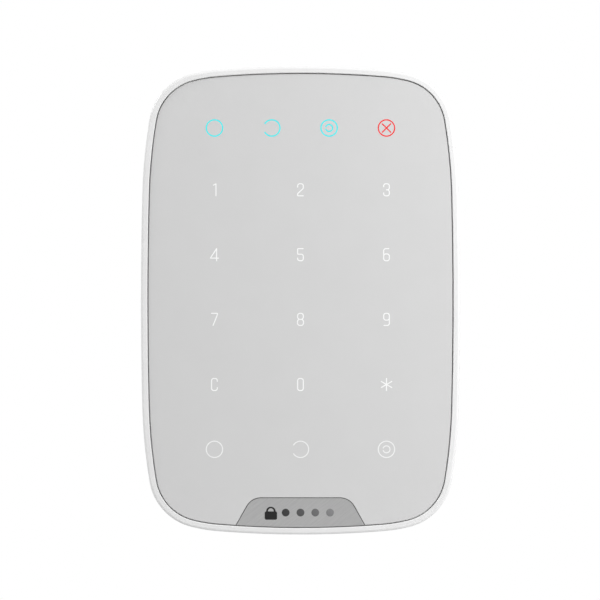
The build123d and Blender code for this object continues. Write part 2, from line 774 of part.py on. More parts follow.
with BuildPart() as battery_cradle:
    with BuildSketch(level(bay_floor_front + 0.25)):
        with Locations((0, bay_centre_z)):
            RectangleRounded(2 * cradle_half_x, 2 * cradle_half_z, 1.0)
            Rectangle(2 * cradle_half_x - 1.8, end_high - end_low, mode=Mode.SUBTRACT)
    extrude(amount=7.9)
    for place in (-1, 0, 1):
        slab(bay_floor_front + 0.25, 3.0, (place * cell_pitch - 0.25, end_low + 1),
             (place * cell_pitch + 0.25, end_high - 1))
    # ears under the board, one for each board screw
    for x, z in ear_places:
        inner = (cradle_half_x - 0.5) * (1 if x > 0 else -1)
        outer = x + (2.7 if x > 0 else -2.7)
        slab(6.0, board_rear - 6.0, (min(inner, outer), z - 2.7), (max(inner, outer), z + 2.7))
    disc(6.8, board_rear, 0.8, ear_places, mode=Mode.SUBTRACT)
finish(battery_cradle, "battery_cradle")

with BuildPart() as board_screws:
    disc(7.0, board_front - 7.0, 0.8, ear_places)
    disc(board_front, 0.7, 1.6, ear_places)
    cross_recess(board_front + 0.3, 0.5, ear_places, 4 * recess_width)
finish(board_screws, "board_screws")


def cell(x, points_up, name):
    """AAA cell standing in the bay: a crimped steel can with a raised positive end."""
    direction = 1 if points_up else -1
    nub_end = end_high - contact_thickness if points_up else end_low + contact_thickness
    flat_end = nub_end - direction * cell_length
    with BuildPart() as can:
        with BuildSketch(Plane(origin=(x, -cell_axis_depth, flat_end), z_dir=(0, 0, direction))):
            Circle(cell_radius)
        extrude(amount=cell_length - nub_height)
        fillet(can.edges().filter_by(GeomType.CIRCLE), 0.5)
        with BuildSketch(Plane(origin=(x, -cell_axis_depth, nub_end), z_dir=(0, 0, -direction))):
            Circle(nub_radius)
        extrude(amount=nub_height + 0.5)
        fillet(can.faces().sort_by(Axis.Z)[-1 if points_up else 0].edges(), 0.25)
    finish(can, name)
    return flat_end


flat_ends = [cell(x, up, f"battery_{i + 1}") for i, (x, up) in enumerate(zip(cell_x, cell_points_up))]

contact_reach = 3.5
contact_rear, contact_front = cell_axis_depth - 3.2, cell_axis_depth + 3.0


def contact_plate(left, right, low_z):
    """Nickel plate at the ends of the cells from left to right."""
    slab(contact_rear, contact_front - contact_rear, (cell_x[left] - contact_reach, low_z),
         (cell_x[right] + contact_reach, low_z + contact_thickness))


with BuildPart() as battery_contacts:
    for left, right in ((0, 1), (2, 3)):
        contact_plate(left, right, end_high - contact_thickness)
    for left, right in ((0, 0), (1, 2), (3, 3)):
        contact_plate(left, right, end_low)
finish(battery_contacts, "battery_contacts")

leaf_width = 4.4
leaf_reach = 2.7
with BuildPart() as battery_springs:
    for x, up, flat_end in zip(cell_x, cell_points_up, flat_ends):
        wall_z = end_low + contact_thickness if up else end_high - contact_thickness
        inward = 1 if up else -1
        foot = wall_z + inward * contact_thickness / 2
        tip = flat_end - inward * contact_thickness / 2
        with BuildSketch(Plane.YZ.offset(x - leaf_width / 2)) as leaf:
            with BuildLine() as bow:
                ThreePointArc((leaf_reach - cell_axis_depth, foot), (-cell_axis_depth, tip),
                              (-leaf_reach - cell_axis_depth, foot))
            trace(bow.edges(), line_width=contact_thickness - 0.02)
        extrude(leaf.sketch, amount=leaf_width)
finish(battery_springs, "battery_springs")
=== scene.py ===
"""Looks of the wall-mounted alarm keypad: finishes for every CAD piece and the fine pieces CAD leaves out.

The script works in metres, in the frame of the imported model: the origin is the centre of the bracket's
wall face, +X is to the right for a person facing the keypad, +Z is up and the room is towards -Y.
"""

import logging
import math
from dataclasses import dataclass, field
from enum import Enum

import bpy
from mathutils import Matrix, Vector


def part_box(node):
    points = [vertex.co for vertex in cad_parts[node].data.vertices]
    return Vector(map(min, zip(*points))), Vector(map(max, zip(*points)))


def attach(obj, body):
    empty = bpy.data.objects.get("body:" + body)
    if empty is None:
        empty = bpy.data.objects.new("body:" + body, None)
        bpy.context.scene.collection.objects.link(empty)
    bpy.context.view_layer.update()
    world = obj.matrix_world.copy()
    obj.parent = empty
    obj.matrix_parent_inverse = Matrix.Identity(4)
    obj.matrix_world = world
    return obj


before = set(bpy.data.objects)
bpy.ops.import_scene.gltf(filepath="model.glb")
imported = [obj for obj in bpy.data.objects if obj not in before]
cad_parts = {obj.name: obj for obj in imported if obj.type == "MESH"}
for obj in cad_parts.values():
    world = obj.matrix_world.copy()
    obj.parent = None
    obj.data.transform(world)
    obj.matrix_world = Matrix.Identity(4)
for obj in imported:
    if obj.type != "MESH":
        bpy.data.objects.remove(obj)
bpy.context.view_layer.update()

log = logging.getLogger("keypad")
MM = 0.001
Colour = tuple[float, float, float]

SMOOTH_BELOW = math.radians(35)
BEVEL_ABOVE = math.radians(30)
NOISE_LOW, NOISE_HIGH = 0.3, 0.7
WIPE_STRETCH = (20.0, 20.0, 220.0)
HAIR_STRETCH = (9000.0, 9000.0, 160.0)
BAND_STRETCH = (1800.0, 1800.0, 60.0)


class Body(Enum):
    """Rigid body that carries the new pieces, by its name in the frame."""

    UNIT = "keypad_unit"


class Lay(Enum):
    """Direction in which a metal was brushed or rolled, as an angle about the wall's normal."""

    DIAGONAL = math.radians(-52)
    UPRIGHT = 0.0


# ------------------------------------------------------------------------------ node helpers
class Sheet:
    """Adds nodes to one node tree and wires them."""

    def __init__(self, tree: bpy.types.NodeTree) -> None:
        """Keeps the tree.

        Args:
            tree: The node tree to draw on.
        """
        self.tree = tree

    def add(self, kind: str, **inputs: object) -> bpy.types.Node:
        """Adds a node, sets its attributes and sets or links its inputs.

        Args:
            kind: The node's type name.
            **inputs: Attributes by name, or inputs by name with spaces written as underscores. A socket
                as a value is linked, and any other value is set.

        Returns:
            The new node.
        """
        node = self.tree.nodes.new(kind)
        for key, value in inputs.items():
            if hasattr(node, key):
                setattr(node, key, value)
                continue
            socket = self.find(node, key)
            if isinstance(value, bpy.types.NodeSocket):
                self.tree.links.new(value, socket)
            else:
                socket.default_value = value
        return node

    @staticmethod
    def find(node: bpy.types.Node, key: str) -> bpy.types.NodeSocket:
        """Finds an input by its name, or by its index written as in_0.

        Args:
            node: The node that has the input.
            key: The input's name with underscores for spaces, or in_ and an index.

        Returns:
            The input socket.
        """
        if key.startswith("in_"):
            return node.inputs[int(key[3:])]
        return node.inputs[key.replace("_", " ")]

    def math(self, operation: str, *values: object) -> bpy.types.NodeSocket:
        """Adds a Math node.

        Args:
            operation: The operation's name.
            *values: Sockets or numbers for its inputs.

        Returns:
            The node's output.
        """
        inputs = {f"in_{i}": value for i, value in enumerate(values)}
        return self.add("ShaderNodeMath", operation=operation, **inputs).outputs[0]

    def span(
        self, value: object, low: float, high: float, to_low: float, to_high: float
    ) -> bpy.types.NodeSocket:
        """Maps a value from one range to another, clamped.

        Args:
            value: The socket to map.
            low: Start of the incoming range.
            high: End of the incoming range.
            to_low: Result at low.
            to_high: Result at high.

        Returns:
            The mapped value.
        """
        node = self.add("ShaderNodeMapRange", Value=value, From_Min=low, From_Max=high)
        node.inputs["To Min"].default_value = to_low
        node.inputs["To Max"].default_value = to_high
        return node.outputs["Result"]

    def spread(self, noise: object, to_low: float = 0.0, to_high: float = 1.0) -> bpy.types.NodeSocket:
        """Stretches a noise, whose values crowd about its middle, over a whole range.

        Args:
            noise: The noise's socket.
            to_low: Result where the noise is low.
            to_high: Result where the noise is high.

        Returns:
            The stretched value.
        """
        return self.span(noise, NOISE_LOW, NOISE_HIGH, to_low, to_high)

    def blend(self, mask: bpy.types.NodeSocket, first: object, second: object) -> bpy.types.NodeSocket:
        """Mixes two colours.

        Args:
            mask: Socket with the share of the second colour.
            first: Colour or socket at mask 0.
            second: Colour or socket at mask 1.

        Returns:
            The mixed colour.
        """
        node = self.tree.nodes.new("ShaderNodeMix")
        node.data_type = "RGBA"
        for socket, value in ((node.inputs[0], mask), (node.inputs[6], first), (node.inputs[7], second)):
            if isinstance(value, bpy.types.NodeSocket):
                self.tree.links.new(value, socket)
            else:
                socket.default_value = (*value, 1.0)
        return node.outputs[2]


class Effects:
    """Shader node groups that several finishes share, built on first use."""

    def __init__(self) -> None:
        """Starts with no group built."""
        self.built: dict[str, bpy.types.NodeTree] = {}

    def begin(
        self, name: str, inputs: dict[str, object], outputs: list[str]
    ) -> tuple[Sheet, dict[str, bpy.types.NodeSocket], bpy.types.Node]:
        """Makes an empty group with its sockets.

        Args:
            name: The group's name.
            inputs: Input names with their defaults; a default of None makes a vector.
            outputs: Names of the value outputs.

        Returns:
            The sheet to draw on, the group's inputs by name, and its output node.
        """
        tree = bpy.data.node_groups.new(name, "ShaderNodeTree")
        for key, default in inputs.items():
            kind = "NodeSocketVector" if default is None else "NodeSocketFloat"
            socket = tree.interface.new_socket(name=key, in_out="INPUT", socket_type=kind)
            if default is not None:
                socket.default_value = default
        for key in outputs:
            tree.interface.new_socket(name=key, in_out="OUTPUT", socket_type="NodeSocketFloat")
        self.built[name] = tree
        sheet = Sheet(tree)
        source = sheet.add("NodeGroupInput")
        return sheet, {s.name: s for s in source.outputs if s.name}, sheet.add("NodeGroupOutput")

    def moulding_grain(self) -> bpy.types.NodeTree:
        """Spark-eroded grain of a moulding tool: fine bumps with a softer unevenness under them.

        Returns:
            The group, with inputs Vector, Scale and Coarse, and outputs Height and Tone.
        """
        if "moulding_grain" in self.built:
            return self.built["moulding_grain"]
        sheet, given, out = self.begin(
            "moulding_grain", {"Vector": None, "Scale": 4000.0, "Coarse": 0.3}, ["Height", "Tone"]
        )
        fine = sheet.add("ShaderNodeTexNoise", Vector=given["Vector"], Scale=given["Scale"], Detail=3.0)
        pits = sheet.add("ShaderNodeTexVoronoi", Vector=given["Vector"], feature="SMOOTH_F1")
        sheet.tree.links.new(sheet.math("MULTIPLY", given["Scale"], 0.6), pits.inputs["Scale"])
        broad = sheet.add("ShaderNodeTexNoise", Vector=given["Vector"], Scale=90.0, Detail=4.0)
        shallow = sheet.math("MULTIPLY", pits.outputs["Distance"], 0.5)
        bumps = sheet.math("ADD", fine.outputs["Fac"], shallow)
        drift = sheet.math("MULTIPLY", broad.outputs["Fac"], given["Coarse"])
        sheet.tree.links.new(sheet.math("ADD", bumps, drift), out.inputs["Height"])
        sheet.tree.links.new(broad.outputs["Fac"], out.inputs["Tone"])
        return self.built["moulding_grain"]

    def handling(self) -> bpy.types.NodeTree:
        """Faint marks of handling: cloudy patches and soft wiped streaks.

        Returns:
            The group, with input Vector and output Mask, which is 0 to 1.
        """
        if "handling" in self.built:
            return self.built["handling"]
        sheet, given, out = self.begin("handling", {"Vector": None}, ["Mask"])
        cloud = sheet.add("ShaderNodeTexNoise", Vector=given["Vector"], Scale=38.0, Detail=5.0,
                          Roughness=0.6)
        turned = sheet.add("ShaderNodeMapping", Vector=given["Vector"])
        turned.inputs["Rotation"].default_value = (0.0, 0.6, 0.0)
        turned.inputs["Scale"].default_value = WIPE_STRETCH
        wipe = sheet.add("ShaderNodeTexNoise", Vector=turned.outputs[0], Scale=2.0, Detail=2.0)
        both = sheet.math("MULTIPLY", cloud.outputs["Fac"], wipe.outputs["Fac"])
        sheet.tree.links.new(sheet.span(both, 0.12, 0.42, 0.0, 1.0), out.inputs["Mask"])
        return self.built["handling"]

    def hairlines(self) -> bpy.types.NodeTree:
        """Fine parallel scratches of a brushed or rolled metal, long along the vector's Z.

        Returns:
            The group, with inputs Vector and Fineness, and outputs Height and Streak.
        """
        if "hairlines" in self.built:
            return self.built["hairlines"]
        sheet, given, out = self.begin("hairlines", {"Vector": None, "Fineness": 1.0}, ["Height", "Streak"])
        long = sheet.add("ShaderNodeMapping", Vector=given["Vector"])
        long.inputs["Scale"].default_value = HAIR_STRETCH
        fine = sheet.add("ShaderNodeTexNoise", Vector=long.outputs[0], Scale=given["Fineness"], Detail=2.0)
        wide = sheet.add("ShaderNodeMapping", Vector=given["Vector"])
        wide.inputs["Scale"].default_value = BAND_STRETCH
        bands = sheet.add("ShaderNodeTexNoise", Vector=wide.outputs[0], Scale=given["Fineness"], Detail=3.0)
        sheet.tree.links.new(fine.outputs["Fac"], out.inputs["Height"])
        mixed = sheet.math("ADD", sheet.math("MULTIPLY", fine.outputs["Fac"], 0.55),
                           sheet.math("MULTIPLY", bands.outputs["Fac"], 0.45))
        sheet.tree.links.new(sheet.spread(mixed), out.inputs["Streak"])
        return self.built["hairlines"]


EFFECTS = Effects()


class Finish:
    """Base of all finishes: starts a material and ends it."""

    name: str

    def begin(self) -> tuple[bpy.types.Material, Sheet, bpy.types.Node, bpy.types.NodeSocket]:
        """Makes the material with its shader and its object coordinates.

        Returns:
            The material, the sheet to draw on, the Principled shader and the coordinates.
        """
        material = bpy.data.materials.new(self.name)
        material.use_nodes = True
        sheet = Sheet(material.node_tree)
        shader = material.node_tree.nodes["Principled BSDF"]
        place = sheet.add("ShaderNodeTexCoord").outputs["Object"]
        return material, sheet, shader, place

    @staticmethod
    def relief(
        sheet: Sheet, shader: bpy.types.Node, height: object, depth: float, strength: float = 1.0
    ) -> None:
        """Feeds a height to the shader's normal.

        Args:
            sheet: The material's sheet.
            shader: The Principled shader.
            height: Socket with the height, about 0 to 1.
            depth: Depth of the relief in metres.
            strength: Strength of the bump.
        """
        bump = sheet.add("ShaderNodeBump", Height=height, Distance=depth, Strength=strength)
        sheet.tree.links.new(bump.outputs[0], shader.inputs["Normal"])

    @staticmethod
    def effect(sheet: Sheet, group: bpy.types.NodeTree, place: object, **values: float) -> bpy.types.Node:
        """Places a shared effect.

        Args:
            sheet: The material's sheet.
            group: The node group.
            place: Coordinates for its Vector input.
            **values: Numbers for its other inputs.

        Returns:
            The group node.
        """
        node = sheet.add("ShaderNodeGroup")
        node.node_tree = group
        sheet.tree.links.new(place, node.inputs["Vector"])
        for key, value in values.items():
            node.inputs[key].default_value = value
        return node


@dataclass(frozen=True)
class Moulding(Finish):
    """Moulded plastic: satin or matt, with the tool's grain, uneven gloss and faint handling marks."""

    name: str
    colour: Colour
    roughness: float = 0.45
    grain: float = 4200.0
    depth: float = 0.000006
    drift: float = 0.03
    specular: float = 0.5
    subsurface: float = 0.0
    wiped: float = 0.04

    def material(self) -> bpy.types.Material:
        """Builds the material.

        Returns:
            The finished material.
        """
        material, sheet, shader, place = self.begin()
        grain = self.effect(sheet, EFFECTS.moulding_grain(), place, Scale=self.grain)
        marks = self.effect(sheet, EFFECTS.handling(), place)
        darker = tuple(c * (1 - self.drift) for c in self.colour)
        tone = sheet.spread(grain.outputs["Tone"])
        sheet.tree.links.new(sheet.blend(tone, self.colour, darker), shader.inputs["Base Color"])
        gloss = sheet.span(marks.outputs["Mask"], 0.0, 1.0,
                           self.roughness + self.wiped, self.roughness - self.wiped)
        sheet.tree.links.new(gloss, shader.inputs["Roughness"])
        shader.inputs["Specular IOR Level"].default_value = self.specular
        shader.inputs["Subsurface Weight"].default_value = self.subsurface
        shader.inputs["Subsurface Scale"].default_value = 0.0008
        self.relief(sheet, shader, grain.outputs["Height"], self.depth)
        return material


@dataclass(frozen=True)
class LitSymbol(Finish):
    """Translucent symbol with a lamp behind it: its glow a little uneven, in faint patches."""

    name: str
    colour: Colour
    glow: Colour
    strength: float
    dimmed: float = 0.94
    darkened: float = 0.96

    def material(self) -> bpy.types.Material:
        """Builds the material.

        Returns:
            The finished material.
        """
        material, sheet, shader, place = self.begin()
        patch = sheet.add("ShaderNodeTexNoise", Vector=place, Scale=420.0, Detail=2.0)
        mask = sheet.spread(patch.outputs["Fac"])
        dim = tuple(c * self.dimmed for c in self.glow)
        sheet.tree.links.new(sheet.blend(mask, self.glow, dim), shader.inputs["Emission Color"])
        dark = tuple(c * self.darkened for c in self.colour)
        sheet.tree.links.new(sheet.blend(mask, self.colour, dark), shader.inputs["Base Color"])
        shader.inputs["Emission Strength"].default_value = self.strength
        shader.inputs["Roughness"].default_value = 0.4
        grain = self.effect(sheet, EFFECTS.moulding_grain(), place, Scale=5200.0)
        self.relief(sheet, shader, grain.outputs["Height"], 0.000003)
        return material


@dataclass(frozen=True)
class Metal(Finish):
    """Brushed, rolled or plated metal with hairlines along one direction."""

    name: str
    colour: Colour
    roughness: float = 0.3
    lay: Lay = Lay.UPRIGHT
    contrast: float = 0.12
    fineness: float = 1.0
    anisotropy: float = 0.5
    depth: float = 0.000004
    duller: float = 0.07
    shinier: float = 0.05

    def material(self) -> bpy.types.Material:
        """Builds the material.

        Returns:
            The finished material.
        """
        material, sheet, shader, place = self.begin()
        turned = sheet.add("ShaderNodeMapping", Vector=place)
        turned.inputs["Rotation"].default_value = (0.0, self.lay.value, 0.0)
        lines = self.effect(sheet, EFFECTS.hairlines(), turned.outputs[0], Fineness=self.fineness)
        dark = tuple(c * (1 - self.contrast) for c in self.colour)
        light = tuple(min(1.0, c * (1 + self.contrast)) for c in self.colour)
        sheet.tree.links.new(sheet.blend(lines.outputs["Streak"], dark, light), shader.inputs["Base Color"])
        rough = sheet.span(lines.outputs["Streak"], 0.0, 1.0,
                           self.roughness + self.duller, self.roughness - self.shinier)
        sheet.tree.links.new(rough, shader.inputs["Roughness"])
        shader.inputs["Metallic"].default_value = 1.0
        shader.inputs["Anisotropic"].default_value = self.anisotropy
        self.relief(sheet, shader, lines.outputs["Height"], self.depth)
        return material


@dataclass(frozen=True)
class Laminate(Finish):
    """Circuit board: solder resist over copper tracks, with a glass weave showing faintly."""

    name: str
    resist: Colour = (0.012, 0.085, 0.045)
    track: Colour = (0.03, 0.17, 0.085)
    glass: Colour = (0.05, 0.16, 0.10)
    weave: float = 0.08
    pitch: float = 1.1 * MM
    gloss: tuple[float, float] = (0.28, 0.42)

    def material(self) -> bpy.types.Material:
        """Builds the material.

        Returns:
            The finished material.
        """
        material, sheet, shader, place = self.begin()
        flat = sheet.add("ShaderNodeMapping", Vector=place)
        flat.inputs["Rotation"].default_value = (math.radians(90), 0.0, 0.0)
        flat.inputs["Scale"].default_value = (1 / self.pitch,) * 3
        runs = sheet.add("ShaderNodeTexBrick", Vector=flat.outputs[0], Scale=0.35)
        runs.inputs["Mortar Size"].default_value = 0.06
        runs.inputs["Mortar Smooth"].default_value = 0.1
        threads = sheet.add("ShaderNodeTexWave", Vector=flat.outputs[0], Scale=1.6)
        copper = sheet.blend(runs.outputs["Fac"], self.resist, self.track)
        cloth = sheet.math("MULTIPLY", threads.outputs["Fac"], self.weave)
        sheet.tree.links.new(sheet.blend(cloth, copper, self.glass), shader.inputs["Base Color"])
        grain = self.effect(sheet, EFFECTS.moulding_grain(), place, Scale=2500.0)
        gloss = sheet.spread(grain.outputs["Tone"], *self.gloss)
        sheet.tree.links.new(gloss, shader.inputs["Roughness"])
        shader.inputs["Coat Weight"].default_value = 0.4
        shader.inputs["Coat Roughness"].default_value = 0.15
        self.relief(sheet, shader, runs.outputs["Fac"], 0.00003, 0.6)
        return material


@dataclass(frozen=True)
class PrintedFilm(Finish):
    """Sensor foil: clear polyester with a silver grid of electrodes printed on it."""

    name: str
    film: Colour = (0.62, 0.45, 0.20)
    ink: Colour = (0.60, 0.60, 0.58)
    grid_scale: float = 420.0
    gloss: tuple[float, float] = (0.22, 0.34)

    def material(self) -> bpy.types.Material:
        """Builds the material.

        Returns:
            The finished material.
        """
        material, sheet, shader, place = self.begin()
        flat = sheet.add("ShaderNodeMapping", Vector=place)
        flat.inputs["Rotation"].default_value = (math.radians(90), 0.0, math.radians(45))
        pads = sheet.add("ShaderNodeTexChecker", Vector=flat.outputs[0], Scale=self.grid_scale)
        grid = sheet.blend(pads.outputs["Fac"], self.film, self.ink)
        sheet.tree.links.new(grid, shader.inputs["Base Color"])
        grain = self.effect(sheet, EFFECTS.moulding_grain(), place, Scale=3000.0)
        gloss = sheet.spread(grain.outputs["Tone"], *self.gloss)
        sheet.tree.links.new(gloss, shader.inputs["Roughness"])
        self.relief(sheet, shader, pads.outputs["Fac"], 0.000008, 0.5)
        return material


@dataclass(frozen=True)
class CellSleeve(Finish):
    """Printed sleeve of a battery cell: dark body, a coloured band near one end, bare metal at the ends."""

    name: str
    low: float
    high: float
    band_up: bool
    body: Colour = (0.030, 0.033, 0.038)
    band: Colour = (0.55, 0.22, 0.06)
    steel: Colour = (0.62, 0.61, 0.58)
    band_from: float = 0.76
    bare_from: float = 0.965
    bare_below: float = 0.015
    gloss: tuple[float, float] = (0.34, 0.24)

    def material(self) -> bpy.types.Material:
        """Builds the material.

        Returns:
            The finished material.
        """
        material, sheet, shader, place = self.begin()
        split = sheet.add("ShaderNodeSeparateXYZ", Vector=place)
        along = sheet.span(split.outputs["Z"], self.low, self.high, 0.0, 1.0)
        share = along if self.band_up else sheet.math("SUBTRACT", 1.0, along)
        banded = sheet.math("GREATER_THAN", share, self.band_from)
        bare = sheet.math("MAXIMUM", sheet.math("GREATER_THAN", share, self.bare_from),
                          sheet.math("LESS_THAN", share, self.bare_below))
        print_colour = sheet.blend(banded, self.body, self.band)
        sheet.tree.links.new(sheet.blend(bare, print_colour, self.steel), shader.inputs["Base Color"])
        sheet.tree.links.new(bare, shader.inputs["Metallic"])
        marks = self.effect(sheet, EFFECTS.handling(), place)
        gloss = sheet.span(marks.outputs["Mask"], 0.0, 1.0, *self.gloss)
        sheet.tree.links.new(gloss, shader.inputs["Roughness"])
        shader.inputs["Coat Weight"].default_value = 0.5
        grain = self.effect(sheet, EFFECTS.moulding_grain(), place, Scale=1800.0)
        self.relief(sheet, shader, grain.outputs["Height"], 0.000006)
        return material


@dataclass(frozen=True)
class CoatedPaper(Finish):
    """Blank rating label: coated paper with faint fibres and a fine printed border."""

    name: str
    centre: tuple[float, float]
    half: tuple[float, float]
    paper: Colour = (0.80, 0.80, 0.77)
    ink: Colour = (0.30, 0.31, 0.32)
    yellowed: float = 0.95
    border: tuple[float, float] = (1.2 * MM, 1.5 * MM)
    gloss: tuple[float, float] = (0.5, 0.62)

    def material(self) -> bpy.types.Material:
        """Builds the material.

        Returns:
            The finished material.
        """
        material, sheet, shader, place = self.begin()
        split = sheet.add("ShaderNodeSeparateXYZ", Vector=place)
        across = sheet.math("ABSOLUTE", sheet.math("SUBTRACT", split.outputs["X"], self.centre[0]))
        along = sheet.math("ABSOLUTE", sheet.math("SUBTRACT", split.outputs["Z"], self.centre[1]))
        margin = sheet.math("MINIMUM", sheet.math("SUBTRACT", self.half[0], across),
                            sheet.math("SUBTRACT", self.half[1], along))
        border = sheet.math("MULTIPLY", sheet.math("GREATER_THAN", margin, self.border[0]),
                            sheet.math("LESS_THAN", margin, self.border[1]))
        fibre = sheet.add("ShaderNodeTexNoise", Vector=place, Scale=1600.0, Detail=4.0)
        tone = sheet.spread(fibre.outputs["Fac"])
        page = sheet.blend(tone, self.paper, tuple(c * self.yellowed for c in self.paper))
        sheet.tree.links.new(sheet.blend(border, page, self.ink), shader.inputs["Base Color"])
        sheet.tree.links.new(sheet.span(tone, 0.0, 1.0, *self.gloss), shader.inputs["Roughness"])
        self.relief(sheet, shader, fibre.outputs["Fac"], 0.00001)
        return material


# ------------------------------------------------------------------------------ mesh helpers
def deselect() -> None:
    """Leaves nothing selected, so that the next operator acts on its own piece alone."""
    if bpy.context.object and bpy.context.object.mode != "OBJECT":
        bpy.ops.object.mode_set(mode="OBJECT")
    bpy.ops.object.select_all(action="DESELECT")


def only(piece: bpy.types.Object) -> None:
    """Selects one piece and makes it active.

    Args:
        piece: The piece to work on.
    """
    deselect()
    piece.select_set(True)
    bpy.context.view_layer.objects.active = piece


def settle(piece: bpy.types.Object, name: str) -> None:
    """Names a piece, applies its place to its mesh, points its faces outwards and shades it.

    Args:
        piece: The piece.
        name: Its final name.
    """
    only(piece)
    bpy.ops.object.transform_apply(location=True, rotation=True, scale=True)
    bpy.ops.object.mode_set(mode="EDIT")
    bpy.ops.mesh.select_all(action="SELECT")
    bpy.ops.mesh.remove_doubles(threshold=0.000001)
    bpy.ops.mesh.normals_make_consistent(inside=False)
    bpy.ops.object.mode_set(mode="OBJECT")
    bpy.ops.object.shade_smooth_by_angle(angle=SMOOTH_BELOW)
    piece.name = name
    piece.data.name = name


def bevel_edges(piece: bpy.types.Object, width: float, segments: int) -> None:
    """Rounds the sharp edges of a piece with an applied bevel.

    Args:
        piece: The piece.
        width: Width of the bevel in metres.
        segments: Faces across the rounding.
    """
    only(piece)
    rounding = piece.modifiers.new("rounding", "BEVEL")
    rounding.width = width
    rounding.segments = segments
    rounding.limit_method = "ANGLE"
    rounding.angle_limit = BEVEL_ABOVE
    bpy.ops.object.modifier_apply(modifier=rounding.name)


def dress(node: str, material: bpy.types.Material) -> None:
    """Gives a CAD node its finish.

    Args:
        node: The node's name.
        material: The finish.
    """
    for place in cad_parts[node].material_slots:
        place.material = material
    log.info("%s wears %s", node, material.name)


# ------------------------------------------------------------------------------ sub-assemblies
class SubAssembly:
    """Base of the keypad's sub-assemblies: each one dresses its CAD nodes, and may add pieces."""

    def dress(self) -> None:
        """Gives the sub-assembly's CAD nodes their finishes."""
        raise NotImplementedError

    def build(self) -> None:
        """Adds the pieces that CAD leaves out; most sub-assemblies have none."""


@dataclass
class Case(SubAssembly):
    """White front frame, rear cover and the screws that hold them together."""

    white: Colour = (0.768, 0.768, 0.768)
    cover: Colour = (0.74, 0.74, 0.74)
    zinc: Colour = (0.56, 0.57, 0.58)

    def dress(self) -> None:
        """Gives the case its satin white and its screws their plating."""
        dress("front_frame", Moulding("satin_white_case", self.white, roughness=0.32,
                                      depth=0.000003).material())
        dress("rear_cover", Moulding("grained_white_cover", self.cover, roughness=0.5, grain=2600.0,
                                     depth=0.000014).material())
        screws = Metal("zinc_plate", self.zinc, roughness=0.28, contrast=0.08, anisotropy=0.2).material()
        for node in ("case_screws", "board_screws", "holding_screw"):
            dress(node, screws)


@dataclass
class TouchFront(SubAssembly):
    """Touch panel with its lit symbols."""

    panel: Colour = (0.602, 0.602, 0.602)
    white: Colour = (0.55, 0.55, 0.55)
    white_glow: Colour = (0.87, 0.88, 0.88)
    cyan: Colour = (0.02, 0.22, 0.23)
    cyan_glow: Colour = (0.04, 0.72, 0.74)
    red: Colour = (0.30, 0.02, 0.02)
    red_glow: Colour = (0.70, 0.015, 0.015)
    number_power: float = 0.40
    mode_power: float = 0.33
    status_power: float = 0.85

    def dress(self) -> None:
        """Gives the panel its satin grey and the symbols their light."""
        dress("touch_panel", Moulding("satin_grey_panel", self.panel, roughness=0.36, grain=5200.0,
                                      depth=0.0000022, drift=0.015, specular=0.4).material())
        for node, symbol in (
            ("number_marks", LitSymbol("white_symbols", self.white, self.white_glow, self.number_power)),
            ("mode_marks", LitSymbol("dim_white_symbols", self.white, self.white_glow, self.mode_power)),
            ("status_marks", LitSymbol("cyan_symbols", self.cyan, self.cyan_glow, self.status_power)),
            ("fault_mark", LitSymbol("red_symbol", self.red, self.red_glow, self.status_power)),
        ):
            dress(node, symbol.material())


